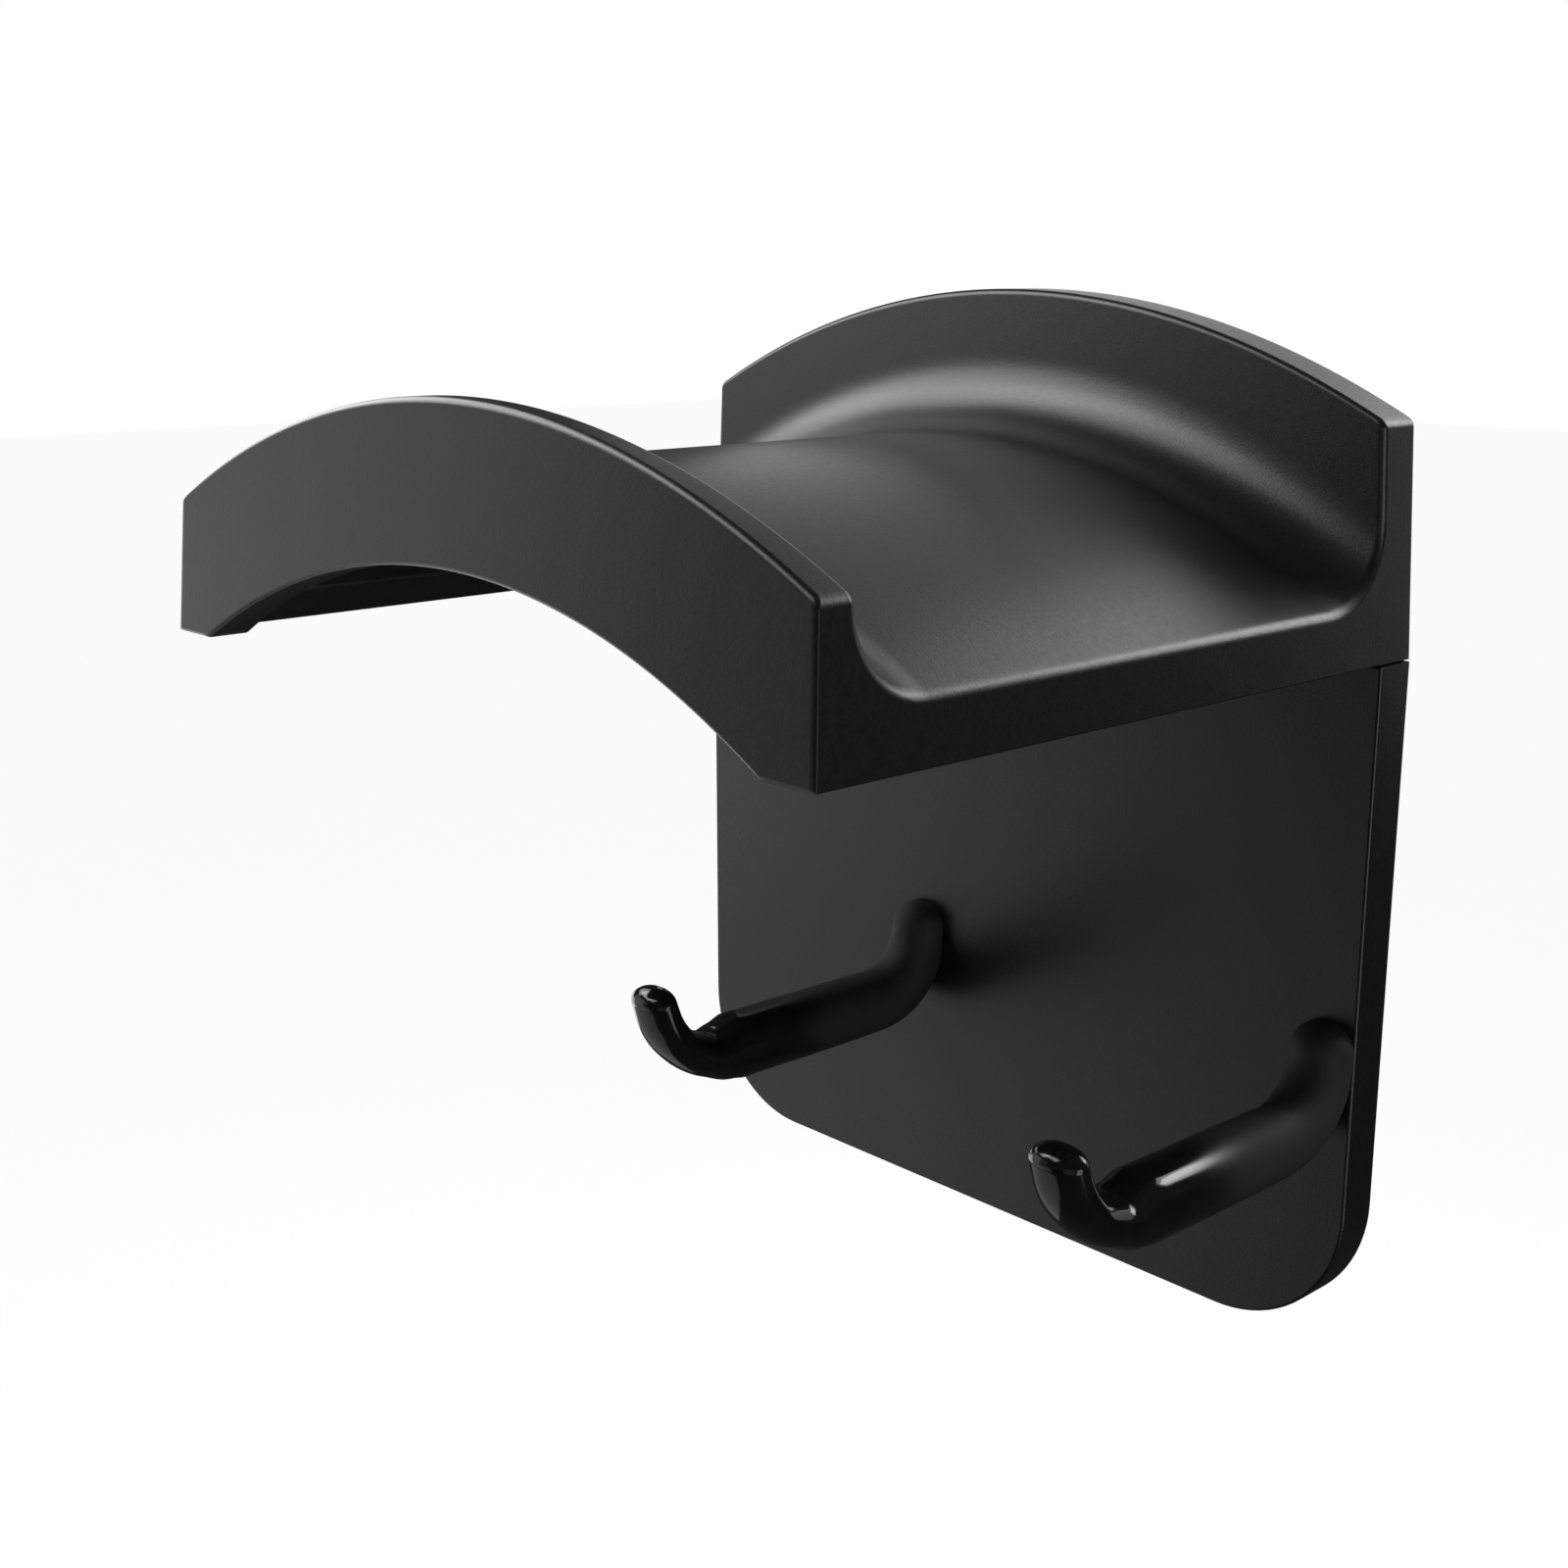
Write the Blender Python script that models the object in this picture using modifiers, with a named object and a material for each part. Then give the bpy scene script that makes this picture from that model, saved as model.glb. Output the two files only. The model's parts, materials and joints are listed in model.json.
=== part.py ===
"""A wall-mounted hair dryer holder: an arched saddle over a flat back plate with two hooks.

The origin is the middle of the adhesive pad's back face, which lies on the wall.
+X is to the right of someone who faces the wall, -Y points into the room and +Z is up.
"""

import math

import bmesh
import bpy
from mathutils import Matrix, Vector

MM = 0.001
GAP = 0.3 * MM  # left between faces that touch on the real object
OVERCUT = 4.0 * MM  # how far a cutter reaches past the face that it opens
OBJECT_NAME = "hair_dryer_holder"

# Saddle: each rise is from the arc's ends to its crown
SADDLE_HALF_WIDTH = 60.0 * MM  # at the ends of the front lip's top arc
SIDE_DRAFT = 0.057  # how far a side face leans out for each unit that it drops
LIP_DRAFT = 0.067  # the same for the front of the lip
LIP_FRONT_Y = -99.7 * MM
LIP_THICKNESS = 4.9 * MM
LIP_END_Z = 44.0 * MM
LIP_RISE = 15.3 * MM
FLOOR_END_Z = 33.6 * MM
FLOOR_RISE = 17.8 * MM
FLANGE_FRONT_Y = -7.3 * MM
FLANGE_BACK_Y = -0.3 * MM
FLANGE_END_Z = 55.3 * MM
FLANGE_RISE = 14.9 * MM
SADDLE_BOTTOM_Z = 26.4 * MM
FRONT_FILLET = 9.5 * MM
REAR_FILLET = 10.2 * MM
LIP_LAND = 0.9 * MM  # upright stretch between the front fillet and the top of the lip
ARCH_HALF_WIDTH = 52.5 * MM
ARCH_CROWN_Z = 40.6 * MM
SKIN = 2.5 * MM
RIB = 2.0 * MM
RIB_X = (-36.0 * MM, -13.0 * MM, 13.0 * MM, 36.0 * MM)
POCKET_HALF_WIDTH = 55.6 * MM
RIM_HALF_WIDTH = 58.8 * MM  # inside of the thin rim below the ledge on each side wall
RIM_LEDGE_Z = 29.0 * MM
FLANGE_HOLLOW_HALF_WIDTH = 57.0 * MM
FLANGE_WALL = 2.4 * MM

# Back plate
PLATE_HALF_WIDTH = 61.2 * MM
PLATE_BOTTOM_Z = -64.5 * MM
PLATE_TOP_Z = SADDLE_BOTTOM_Z - GAP
PLATE_BACK_Y = -0.8 * MM
PLATE_CORNER = 19.0 * MM
PLATE_WALL = 2.2 * MM
TONGUE_HALF_WIDTH = 54.0 * MM
TONGUE_BOTTOM_Z = 22.6 * MM
TONGUE_TOP_Z = 46.5 * MM

# Hooks: a path in the YZ plane with two bends, and a section that changes along it
HOOK_X = {"left": -13.5 * MM, "right": 57.0 * MM}
HOOK_ROOT_Y = -7.8 * MM
HOOK_SHANK_Z = -33.3 * MM
HOOK_ROOT_BEND = 10.4 * MM
HOOK_SHANK_END_Y = -47.6 * MM
HOOK_TIP_BEND = 12.0 * MM
HOOK_TIP_TURN = math.radians(72)
HOOK_TIP_RUN = 2.2 * MM
HOOK_DOME_SHARE = 0.85  # length of each rounded end against the half thickness there
HOOK_SECTIONS = (  # share of the path, half width, reach above the path, reach below it
    (0.00, 4.1 * MM, 4.2 * MM, 3.8 * MM),
    (0.20, 4.2 * MM, 4.8 * MM, 4.1 * MM),
    (0.40, 4.3 * MM, 4.9 * MM, 4.1 * MM),
    (0.70, 4.4 * MM, 5.0 * MM, 3.9 * MM),
    (0.735, 4.4 * MM, 4.2 * MM, 3.5 * MM),
    (0.79, 4.35 * MM, 3.1 * MM, 2.9 * MM),
    (0.88, 4.2 * MM, 2.6 * MM, 2.6 * MM),
    (1.00, 3.9 * MM, 2.3 * MM, 2.4 * MM),
)

# Hanger bar, its bosses in the plate, and the wall bracket
BAR_HALF_LENGTH = 31.0 * MM
BAR_BACK_Y = -1.5 * MM
BAR_THICKNESS = 1.2 * MM
BAR_BOTTOM_Z = 13.0 * MM
BAR_HEIGHT = 8.6 * MM
BAR_SCREW_X = 25.5 * MM
BAR_BOSS_RADIUS = 4.0 * MM
STEEL = 1.2 * MM
BRACKET_BACK_Y = -1.1 * MM
BRACKET_HALF_WIDTH = 30.0 * MM
BRACKET_HALF_HEIGHT = 12.7 * MM
BRACKET_TONGUE_HALF_WIDTH = 20.5 * MM
BRACKET_TONGUE_BACK_Y = -3.5 * MM
BRACKET_TONGUE_TOP_Z = 22.0 * MM
BRACKET_HOLE_X = 22.0 * MM
BRACKET_HOLE_RADIUS = 2.3 * MM
PAD_HALF_WIDTH = 29.0 * MM
PAD_HALF_HEIGHT = 12.0 * MM
PAD_THICKNESS = 0.8 * MM

# Fasteners and bumpers
SADDLE_SCREW_PLACES = ((-46.0 * MM, 34.8 * MM), (-25.0 * MM, 41.5 * MM),
                       (25.0 * MM, 41.5 * MM), (46.0 * MM, 34.8 * MM))
SADDLE_SCREW_RADIUS = 1.4 * MM
SADDLE_SCREW_TIP_Y = -15.0 * MM
SADDLE_BOSS_RADIUS = 3.5 * MM
SADDLE_BOSS_END_Y = -19.0 * MM
HOOK_SCREW_RADIUS = 1.25 * MM
HOOK_SCREW_Z = -30.4 * MM  # above the shank's middle, to keep material all round the bore
HOOK_SCREW_TIP_Y = -16.0 * MM
WASHER_RADIUS = 2.9 * MM
WASHER_THICKNESS = 0.8 * MM
BAR_SCREW_RADIUS = 1.0 * MM
BAR_SCREW_TIP_Y = -5.9 * MM
BUMPER_PLACES = {"lower_left": (-46.0 * MM, -48.0 * MM), "lower_right": (37.0 * MM, -48.0 * MM),
                 "upper_left": (-48.0 * MM, 14.0 * MM), "upper_right": (48.0 * MM, 14.0 * MM)}
BUMPER_RADIUS = 4.0 * MM

SADDLE_SCREW_HEAD = (3.0 * MM, 1.4 * MM)  # radius, height
HOOK_SCREW_HEAD = (2.5 * MM, 2.0 * MM)
BAR_SCREW_HEAD = (2.4 * MM, 0.9 * MM)

ROUND_STEPS = 24
SADDLE_STEPS = 40
ARCH_STEPS = 160
CORNER_STEPS = 8


def clear_scene():
    for thing in list(bpy.data.objects):
        bpy.data.objects.remove(thing, do_unlink=True)


def new_collection(name):
    collection = bpy.data.collections.new(name)
    bpy.context.scene.collection.children.link(collection)
    return collection


def make_material(name, colour, roughness, metallic=0.0):
    material = bpy.data.materials.new(name)
    material.use_nodes = True
    shader = material.node_tree.nodes["Principled BSDF"]
    shader.inputs["Base Color"].default_value = (*colour, 1.0)
    shader.inputs["Roughness"].default_value = roughness
    shader.inputs["Metallic"].default_value = metallic
    material.diffuse_color = (*colour, 1.0)
    return material


def add_object(name, mesh, collection, material=None, location=(0, 0, 0), rotation=(0, 0, 0)):
    thing = bpy.data.objects.new(name, mesh)
    thing.location = location
    thing.rotation_euler = rotation
    collection.objects.link(thing)
    if material:
        mesh.materials.append(material)
    else:
        thing.hide_render = True
        thing.display_type = "WIRE"
    return thing


def mesh_of(bm, name):
    bmesh.ops.recalc_face_normals(bm, faces=bm.faces)
    mesh = bpy.data.meshes.new(name)
    bm.to_mesh(mesh)
    bm.free()
    return mesh


def smooth(thing, degrees=35):
    thing.data.shade_smooth()
    thing.data.set_sharp_from_angle(angle=math.radians(degrees))


def loft_mesh(name, rings):
    """A closed mesh through rings of equally many points, with a flat cap on each end."""
    bm = bmesh.new()
    rows = [[bm.verts.new(point) for point in ring] for ring in rings]
    for row, after in zip(rows, rows[1:]):
        for i in range(len(row)):
            j = (i + 1) % len(row)
            bm.faces.new((row[i], row[j], after[j], after[i]))
    bm.faces.new(rows[0])
    bm.faces.new(rows[-1])
    return mesh_of(bm, name)


def box_mesh(name, low, high):
    bm = bmesh.new()
    bmesh.ops.create_cube(bm, size=1.0)
    middle = (Vector(low) + Vector(high)) / 2
    for vert in bm.verts:
        vert.co = Vector(v * (h - l) for v, h, l in zip(vert.co, high, low)) + middle
    return mesh_of(bm, name)


def rod_mesh(name, radius, front_y, back_y, x, z, steps=ROUND_STEPS):
    """A cylinder along Y."""
    bm = bmesh.new()
    bmesh.ops.create_cone(bm, cap_ends=True, segments=steps, radius1=radius, radius2=radius,
                          depth=back_y - front_y)
    bmesh.ops.rotate(bm, verts=bm.verts, matrix=Matrix.Rotation(math.pi / 2, 3, "X"))
    bmesh.ops.translate(bm, verts=bm.verts, vec=(x, (front_y + back_y) / 2, z))
    return mesh_of(bm, name)


def boolean(thing, operation, mesh, cutters):
    """Cuts or joins with a hidden helper made from the mesh."""
    helper = add_object(mesh.name, mesh, cutters)
    modifier = thing.modifiers.new(mesh.name, "BOOLEAN")
    modifier.operation = operation
    modifier.solver = "EXACT"
    modifier.object = helper


def arc_height(x, half_width, end_z, rise):
    """Height at x of a circular arc that is end_z at +-half_width and end_z + rise at 0."""
    radius = (half_width ** 2 + rise ** 2) / (2 * rise)
    return end_z + rise - radius + math.sqrt(radius ** 2 - x ** 2)


def side_x(share, z):
    """X of a point that is this share of the way to the drafted side face, at height z."""
    return share * (SADDLE_HALF_WIDTH - SIDE_DRAFT * (z - LIP_END_Z))


def lip_front_y(z):
    return LIP_FRONT_Y + LIP_DRAFT * (z - LIP_END_Z)


def floor_height(x):
    return arc_height(x, SADDLE_HALF_WIDTH, FLOOR_END_Z, FLOOR_RISE)


def flange_height(x):
    return arc_height(x, SADDLE_HALF_WIDTH, FLANGE_END_Z, FLANGE_RISE)


def saddle_outline(x, fillet_steps=8):
    """The saddle's YZ section at x: lip, front fillet, floor, rear fillet and flange."""
    lip_z = arc_height(x, SADDLE_HALF_WIDTH, LIP_END_Z, LIP_RISE)
    floor_z = floor_height(x)
    flange_z = flange_height(x)
    lip_back_y = LIP_FRONT_Y + LIP_THICKNESS
    front_rise = lip_z - floor_z - LIP_LAND
    points = [(lip_front_y(SADDLE_BOTTOM_Z), SADDLE_BOTTOM_Z), (lip_front_y(lip_z), lip_z),
              (lip_back_y, lip_z)]
    for i in range(fillet_steps + 1):
        turn = math.pi / 2 * i / fillet_steps
        points.append((lip_back_y + FRONT_FILLET * (1 - math.cos(turn)),
                       floor_z + front_rise * (1 - math.sin(turn))))
    for i in range(fillet_steps + 1):
        turn = math.pi / 2 * i / fillet_steps
        points.append((FLANGE_FRONT_Y - REAR_FILLET * (1 - math.sin(turn)),
                       floor_z + REAR_FILLET * (1 - math.cos(turn))))
    points += [(FLANGE_FRONT_Y, flange_z), (FLANGE_BACK_Y, flange_z),
               (FLANGE_BACK_Y, SADDLE_BOTTOM_Z)]
    return points


def under_arc_mesh(name, x_start, x_end, y_start, y_end, height, steps=12):
    """A cutter from below the saddle up to a height that follows an arc across X."""
    rings = []
    for i in range(steps + 1):
        x = x_start + (x_end - x_start) * i / steps
        top, bottom = height(x) - SKIN, SADDLE_BOTTOM_Z - OVERCUT
        rings.append([(x, y_start, bottom), (x, y_end, bottom), (x, y_end, top), (x, y_start, top)])
    return loft_mesh(name, rings)


def make_saddle(parts, cutters, material):
    rings = []
    for i in range(SADDLE_STEPS + 1):
        share = 2 * i / SADDLE_STEPS - 1
        outline = saddle_outline(share * SADDLE_HALF_WIDTH)
        rings.append([(side_x(share, z), y, z) for y, z in outline])
    saddle = add_object("saddle", loft_mesh("saddle", rings), parts, material)

    sagitta = ARCH_CROWN_Z - SADDLE_BOTTOM_Z
    arch_radius = (ARCH_HALF_WIDTH ** 2 + sagitta ** 2) / (2 * sagitta)
    boolean(saddle, "DIFFERENCE", rod_mesh("saddle_arch_cut", arch_radius, LIP_FRONT_Y - OVERCUT,
            FLANGE_FRONT_Y, 0, ARCH_CROWN_Z - arch_radius, ARCH_STEPS), cutters)

    lip_back_y = LIP_FRONT_Y + LIP_THICKNESS
    edges = [-POCKET_HALF_WIDTH]
    for x in RIB_X:
        edges += [x - RIB / 2, x + RIB / 2]
    edges.append(POCKET_HALF_WIDTH)
    for i, (start, end) in enumerate(zip(edges[::2], edges[1::2])):
        boolean(saddle, "DIFFERENCE", under_arc_mesh(f"saddle_pocket_cut_{i}", start, end,
                lip_back_y, FLANGE_FRONT_Y, floor_height), cutters)
    for side in (-1, 1):
        inner, outer = sorted((side * (POCKET_HALF_WIDTH - MM), side * RIM_HALF_WIDTH))
        boolean(saddle, "DIFFERENCE", box_mesh(f"saddle_rim_cut_{side + 1}",
                (inner, lip_back_y, SADDLE_BOTTOM_Z - OVERCUT),
                (outer, FLANGE_FRONT_Y, RIM_LEDGE_Z)), cutters)
    boolean(saddle, "DIFFERENCE", under_arc_mesh("saddle_flange_cut", -FLANGE_HOLLOW_HALF_WIDTH,
            FLANGE_HOLLOW_HALF_WIDTH, FLANGE_FRONT_Y + FLANGE_WALL, OVERCUT, flange_height, 24), cutters)

    for i, (x, z) in enumerate(SADDLE_SCREW_PLACES):
        boolean(saddle, "UNION", rod_mesh(f"saddle_boss_{i}", SADDLE_BOSS_RADIUS,
                SADDLE_BOSS_END_Y, FLANGE_FRONT_Y + MM, x, z), cutters)
    for i, (x, z) in enumerate(SADDLE_SCREW_PLACES):
        boolean(saddle, "DIFFERENCE", rod_mesh(f"saddle_pilot_{i}", SADDLE_SCREW_RADIUS + GAP,
                SADDLE_SCREW_TIP_Y - GAP, 0, x, z), cutters)
    smooth(saddle)


def plate_outline_curve(inset, depth, name):
    """The plate's outline, inset on its free sides, as a flat curve extruded to this depth."""
    half = PLATE_HALF_WIDTH - inset
    radius = PLATE_CORNER - inset
    bottom = PLATE_BOTTOM_Z + inset
    points = [(-half, PLATE_TOP_Z), (half, PLATE_TOP_Z)]
    for side, first_turn in ((1, 0.0), (-1, -math.pi / 2)):
        for i in range(CORNER_STEPS + 1):
            turn = first_turn - math.pi / 2 * i / CORNER_STEPS
            points.append((side * (half - radius) + radius * math.cos(turn),
                           bottom + radius + radius * math.sin(turn)))
    curve = bpy.data.curves.new(name, "CURVE")
    curve.dimensions = "2D"
    curve.fill_mode = "BOTH"
    curve.extrude = depth / 2
    spline = curve.splines.new("POLY")
    spline.points.add(len(points) - 1)
    spline.use_cyclic_u = True
    for point, (x, z) in zip(spline.points, points):
        point.co = (x, z, 0, 1)
    return curve


def plate_mesh(name, inset, front_y, back_y):
    """The plate's outline as a closed solid between two depths."""
    curve = plate_outline_curve(inset, back_y - front_y, name)
    guide = bpy.data.objects.new(name, curve)
    bpy.context.scene.collection.objects.link(guide)
    bpy.context.view_layer.update()
    graph = bpy.context.evaluated_depsgraph_get()
    mesh = bpy.data.meshes.new_from_object(guide.evaluated_get(graph))
    bpy.data.objects.remove(guide, do_unlink=True)
    bm = bmesh.new()
    bm.from_mesh(mesh)
    bmesh.ops.remove_doubles(bm, verts=bm.verts, dist=1e-6)
    bmesh.ops.rotate(bm, verts=bm.verts, matrix=Matrix.Rotation(math.pi / 2, 3, "X"))
    bmesh.ops.translate(bm, verts=bm.verts, vec=(0, (front_y + back_y) / 2, 0))
    return mesh_of(bm, name)


def make_back_plate(parts, cutters, material):
    inner_y = FLANGE_FRONT_Y + PLATE_WALL
    plate = add_object("back_plate", plate_mesh("back_plate", 0, FLANGE_FRONT_Y, PLATE_BACK_Y),
                       parts, material)
    hollow = plate_mesh("plate_hollow_cut", PLATE_WALL, inner_y, OVERCUT)
    boolean(plate, "DIFFERENCE", hollow, cutters)

    tongue_front = FLANGE_FRONT_Y + FLANGE_WALL + GAP
    tongue_back = tongue_front + PLATE_WALL
    boolean(plate, "UNION", box_mesh("plate_web", (-TONGUE_HALF_WIDTH, inner_y - MM, TONGUE_BOTTOM_Z),
            (TONGUE_HALF_WIDTH, tongue_back, PLATE_TOP_Z - GAP)), cutters)
    boolean(plate, "UNION", box_mesh("plate_tongue",
            (-TONGUE_HALF_WIDTH, tongue_front, TONGUE_BOTTOM_Z + MM),
            (TONGUE_HALF_WIDTH, tongue_back, TONGUE_TOP_Z)), cutters)
    bar_z = BAR_BOTTOM_Z + BAR_HEIGHT / 2
    for side in (-1, 1):
        boolean(plate, "UNION", rod_mesh(f"plate_boss_{side + 1}", BAR_BOSS_RADIUS, inner_y - MM,
                BAR_BACK_Y - BAR_THICKNESS - GAP, side * BAR_SCREW_X, bar_z), cutters)
        boolean(plate, "DIFFERENCE", rod_mesh(f"plate_boss_pilot_{side + 1}", BAR_SCREW_RADIUS + GAP,
                BAR_SCREW_TIP_Y - GAP, 0, side * BAR_SCREW_X, bar_z), cutters)
    for i, (x, z) in enumerate(SADDLE_SCREW_PLACES):
        boolean(plate, "DIFFERENCE", rod_mesh(f"plate_saddle_hole_{i}", SADDLE_SCREW_RADIUS + GAP,
                tongue_front - MM, 0, x, z), cutters)
    for side, x in HOOK_X.items():
        boolean(plate, "DIFFERENCE", rod_mesh(f"plate_hook_hole_{side}", HOOK_SCREW_RADIUS + GAP,
                FLANGE_FRONT_Y - MM, 0, x, HOOK_SCREW_Z), cutters)
    # The right hook's washer needs room in the side rim
    boolean(plate, "DIFFERENCE", rod_mesh("plate_washer_room", WASHER_RADIUS + 0.4 * MM, inner_y,
            MM, HOOK_X["right"], HOOK_SCREW_Z), cutters)
    smooth(plate)


def hook_path(arc_steps=9, run_steps=7):
    """Points (y, z) round the root's bend, along the shank, round the tip's bend and up."""
    shank_start = HOOK_ROOT_Y - HOOK_ROOT_BEND
    points = []
    for i in range(arc_steps + 1):
        turn = math.pi / 2 * i / arc_steps
        points.append((shank_start + HOOK_ROOT_BEND * math.cos(turn),
                       HOOK_SHANK_Z + HOOK_ROOT_BEND * (1 - math.sin(turn))))
    for i in range(1, run_steps):
        points.append((shank_start + (HOOK_SHANK_END_Y - shank_start) * i / run_steps, HOOK_SHANK_Z))
    for i in range(arc_steps + 1):
        turn = HOOK_TIP_TURN * i / arc_steps
        points.append((HOOK_SHANK_END_Y - HOOK_TIP_BEND * math.sin(turn),
                       HOOK_SHANK_Z + HOOK_TIP_BEND * (1 - math.cos(turn))))
    y, z = points[-1]
    points.append((y - HOOK_TIP_RUN * math.cos(HOOK_TIP_TURN), z + HOOK_TIP_RUN * math.sin(HOOK_TIP_TURN)))
    return [Vector((0, y, z)) for y, z in points]


def section_at(share):
    """Half width and the reaches above and below the path at this share of its length."""
    for (start, *low), (end, *high) in zip(HOOK_SECTIONS, HOOK_SECTIONS[1:]):
        if share <= end:
            part = (share - start) / (end - start)
            return [a + (b - a) * part for a, b in zip(low, high)]
    return HOOK_SECTIONS[-1][1:]


def hook_mesh(name, dome_steps=4):
    path = hook_path()
    lengths = [0.0]
    for before, after in zip(path, path[1:]):
        lengths.append(lengths[-1] + (after - before).length)
    rings = []

    def add_ring(centre, along, half_width, above, below):
        down = Vector((1, 0, 0)).cross(along)  # the side that the underside of the shank is on
        ring = []
        for k in range(ROUND_STEPS):
            turn = 2 * math.pi * k / ROUND_STEPS
            drop = math.sin(turn)
            drop *= below if drop > 0 else above
            ring.append(centre + Vector((half_width * math.cos(turn), 0, 0)) + down * drop)
        rings.append(ring)

    def add_dome(centre, along, sizes, sign):
        """Shrinking rings towards a rounded end, in the order in which the path meets them."""
        steps = range(1, dome_steps + 1) if sign > 0 else range(dome_steps, 0, -1)
        for step in steps:
            turn = math.pi / 2 * step / (dome_steps + 0.4)
            half_thickness = (sizes[1] + sizes[2]) / 2
            reach = sign * HOOK_DOME_SHARE * half_thickness * math.sin(turn)
            add_ring(centre + along * reach, along, *(size * math.cos(turn) for size in sizes))

    for i, centre in enumerate(path):
        before, after = path[max(i - 1, 0)], path[min(i + 1, len(path) - 1)]
        along = (after - before).normalized()
        sizes = section_at(lengths[i] / lengths[-1])
        if i == 0:
            add_dome(centre, along, sizes, -1)
        add_ring(centre, along, *sizes)
        if i == len(path) - 1:
            add_dome(centre, along, sizes, 1)
    mesh = loft_mesh(name, rings)
    bm = bmesh.new()
    bm.from_mesh(mesh)
    everything = bm.verts[:] + bm.edges[:] + bm.faces[:]
    cut = bmesh.ops.bisect_plane(bm, geom=everything, plane_co=(0, FLANGE_FRONT_Y - GAP, 0),
                                 plane_no=(0, 1, 0), clear_outer=True, dist=1e-7)
    rim = [item for item in cut["geom_cut"] if isinstance(item, bmesh.types.BMEdge)]
    bmesh.ops.contextual_create(bm, geom=rim)
    bpy.data.meshes.remove(mesh)
    return mesh_of(bm, name)


def make_hooks(parts, cutters, material):
    for side, x in HOOK_X.items():
        hook = add_object(f"hook_{side}", hook_mesh(f"hook_{side}"), parts, material, (x, 0, 0))
        boolean(hook, "DIFFERENCE", rod_mesh(f"hook_bore_{side}", HOOK_SCREW_RADIUS + GAP,
                HOOK_SCREW_TIP_Y - GAP, FLANGE_FRONT_Y + MM, x, HOOK_SCREW_Z), cutters)
        smooth(hook, 50)


def turned(name, profile, parts, material, place):
    """A profile of (radius, distance along the axis) turned about an axis that points to +Y."""
    mesh = bpy.data.meshes.new(name)
    closed = profile[0][0] > 0
    edges = [(i, i + 1) for i in range(len(profile) - 1)]
    if closed:
        edges.append((len(profile) - 1, 0))
    mesh.from_pydata([(r, 0, d) for r, d in profile], edges, [])
    x, y, z = place
    thing = add_object(name, mesh, parts, material, (x, y, z), (-math.pi / 2, 0, 0))
    screw = thing.modifiers.new("turn", "SCREW")
    screw.axis = "Z"
    screw.steps = screw.render_steps = ROUND_STEPS
    screw.use_merge_vertices = True
    screw.merge_threshold = 0.00001
    screw.use_smooth_shade = False
    return thing


def screw_profile(head_radius, head_height, shank_radius, shank_length):
    """A pan-headed screw whose head's bearing face is at 0 and whose shank runs to minus."""
    return ((0, head_height), (head_radius * 0.55, head_height), (head_radius, head_height * 0.45),
            (head_radius, 0), (shank_radius, 0), (shank_radius, -shank_length * 0.85),
            (shank_radius * 0.45, -shank_length), (0, -shank_length))


def make_saddle_screws(parts, material):
    bearing_y = FLANGE_FRONT_Y + FLANGE_WALL + GAP + PLATE_WALL + GAP
    profile = screw_profile(*SADDLE_SCREW_HEAD, SADDLE_SCREW_RADIUS, bearing_y - SADDLE_SCREW_TIP_Y)
    for i, (x, z) in enumerate(SADDLE_SCREW_PLACES, 1):
        turned(f"saddle_screw_{i}", profile, parts, material, (x, bearing_y, z))


def make_hook_fasteners(parts, material):
    washer_front_y = FLANGE_FRONT_Y + PLATE_WALL + GAP
    bearing_y = washer_front_y + WASHER_THICKNESS + GAP
    ring = ((WASHER_RADIUS, WASHER_THICKNESS), (WASHER_RADIUS, 0), (HOOK_SCREW_RADIUS + GAP, 0),
            (HOOK_SCREW_RADIUS + GAP, WASHER_THICKNESS))
    profile = screw_profile(*HOOK_SCREW_HEAD, HOOK_SCREW_RADIUS, bearing_y - HOOK_SCREW_TIP_Y)
    for side, x in HOOK_X.items():
        place = (x, washer_front_y, HOOK_SCREW_Z)
        turned(f"hook_washer_{side}", ring, parts, material, place)
        turned(f"hook_screw_{side}", profile, parts, material, (x, bearing_y, HOOK_SCREW_Z))


def make_hanger_bar(parts, cutters, material):
    front_y = BAR_BACK_Y - BAR_THICKNESS
    bar = add_object("hanger_bar", box_mesh("hanger_bar", (-BAR_HALF_LENGTH, front_y, BAR_BOTTOM_Z),
                     (BAR_HALF_LENGTH, BAR_BACK_Y, BAR_BOTTOM_Z + BAR_HEIGHT)), parts, material)
    middle_z = BAR_BOTTOM_Z + BAR_HEIGHT / 2
    bearing_y = BAR_BACK_Y + GAP
    profile = screw_profile(*BAR_SCREW_HEAD, BAR_SCREW_RADIUS, bearing_y - BAR_SCREW_TIP_Y)
    for side, word in ((-1, "left"), (1, "right")):
        x = side * BAR_SCREW_X
        boolean(bar, "DIFFERENCE", rod_mesh(f"bar_hole_{word}", BAR_SCREW_RADIUS + GAP,
                front_y - MM, 0, x, middle_z), cutters)
        turned(f"hanger_screw_{word}", profile, parts, material, (x, bearing_y, middle_z))


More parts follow.
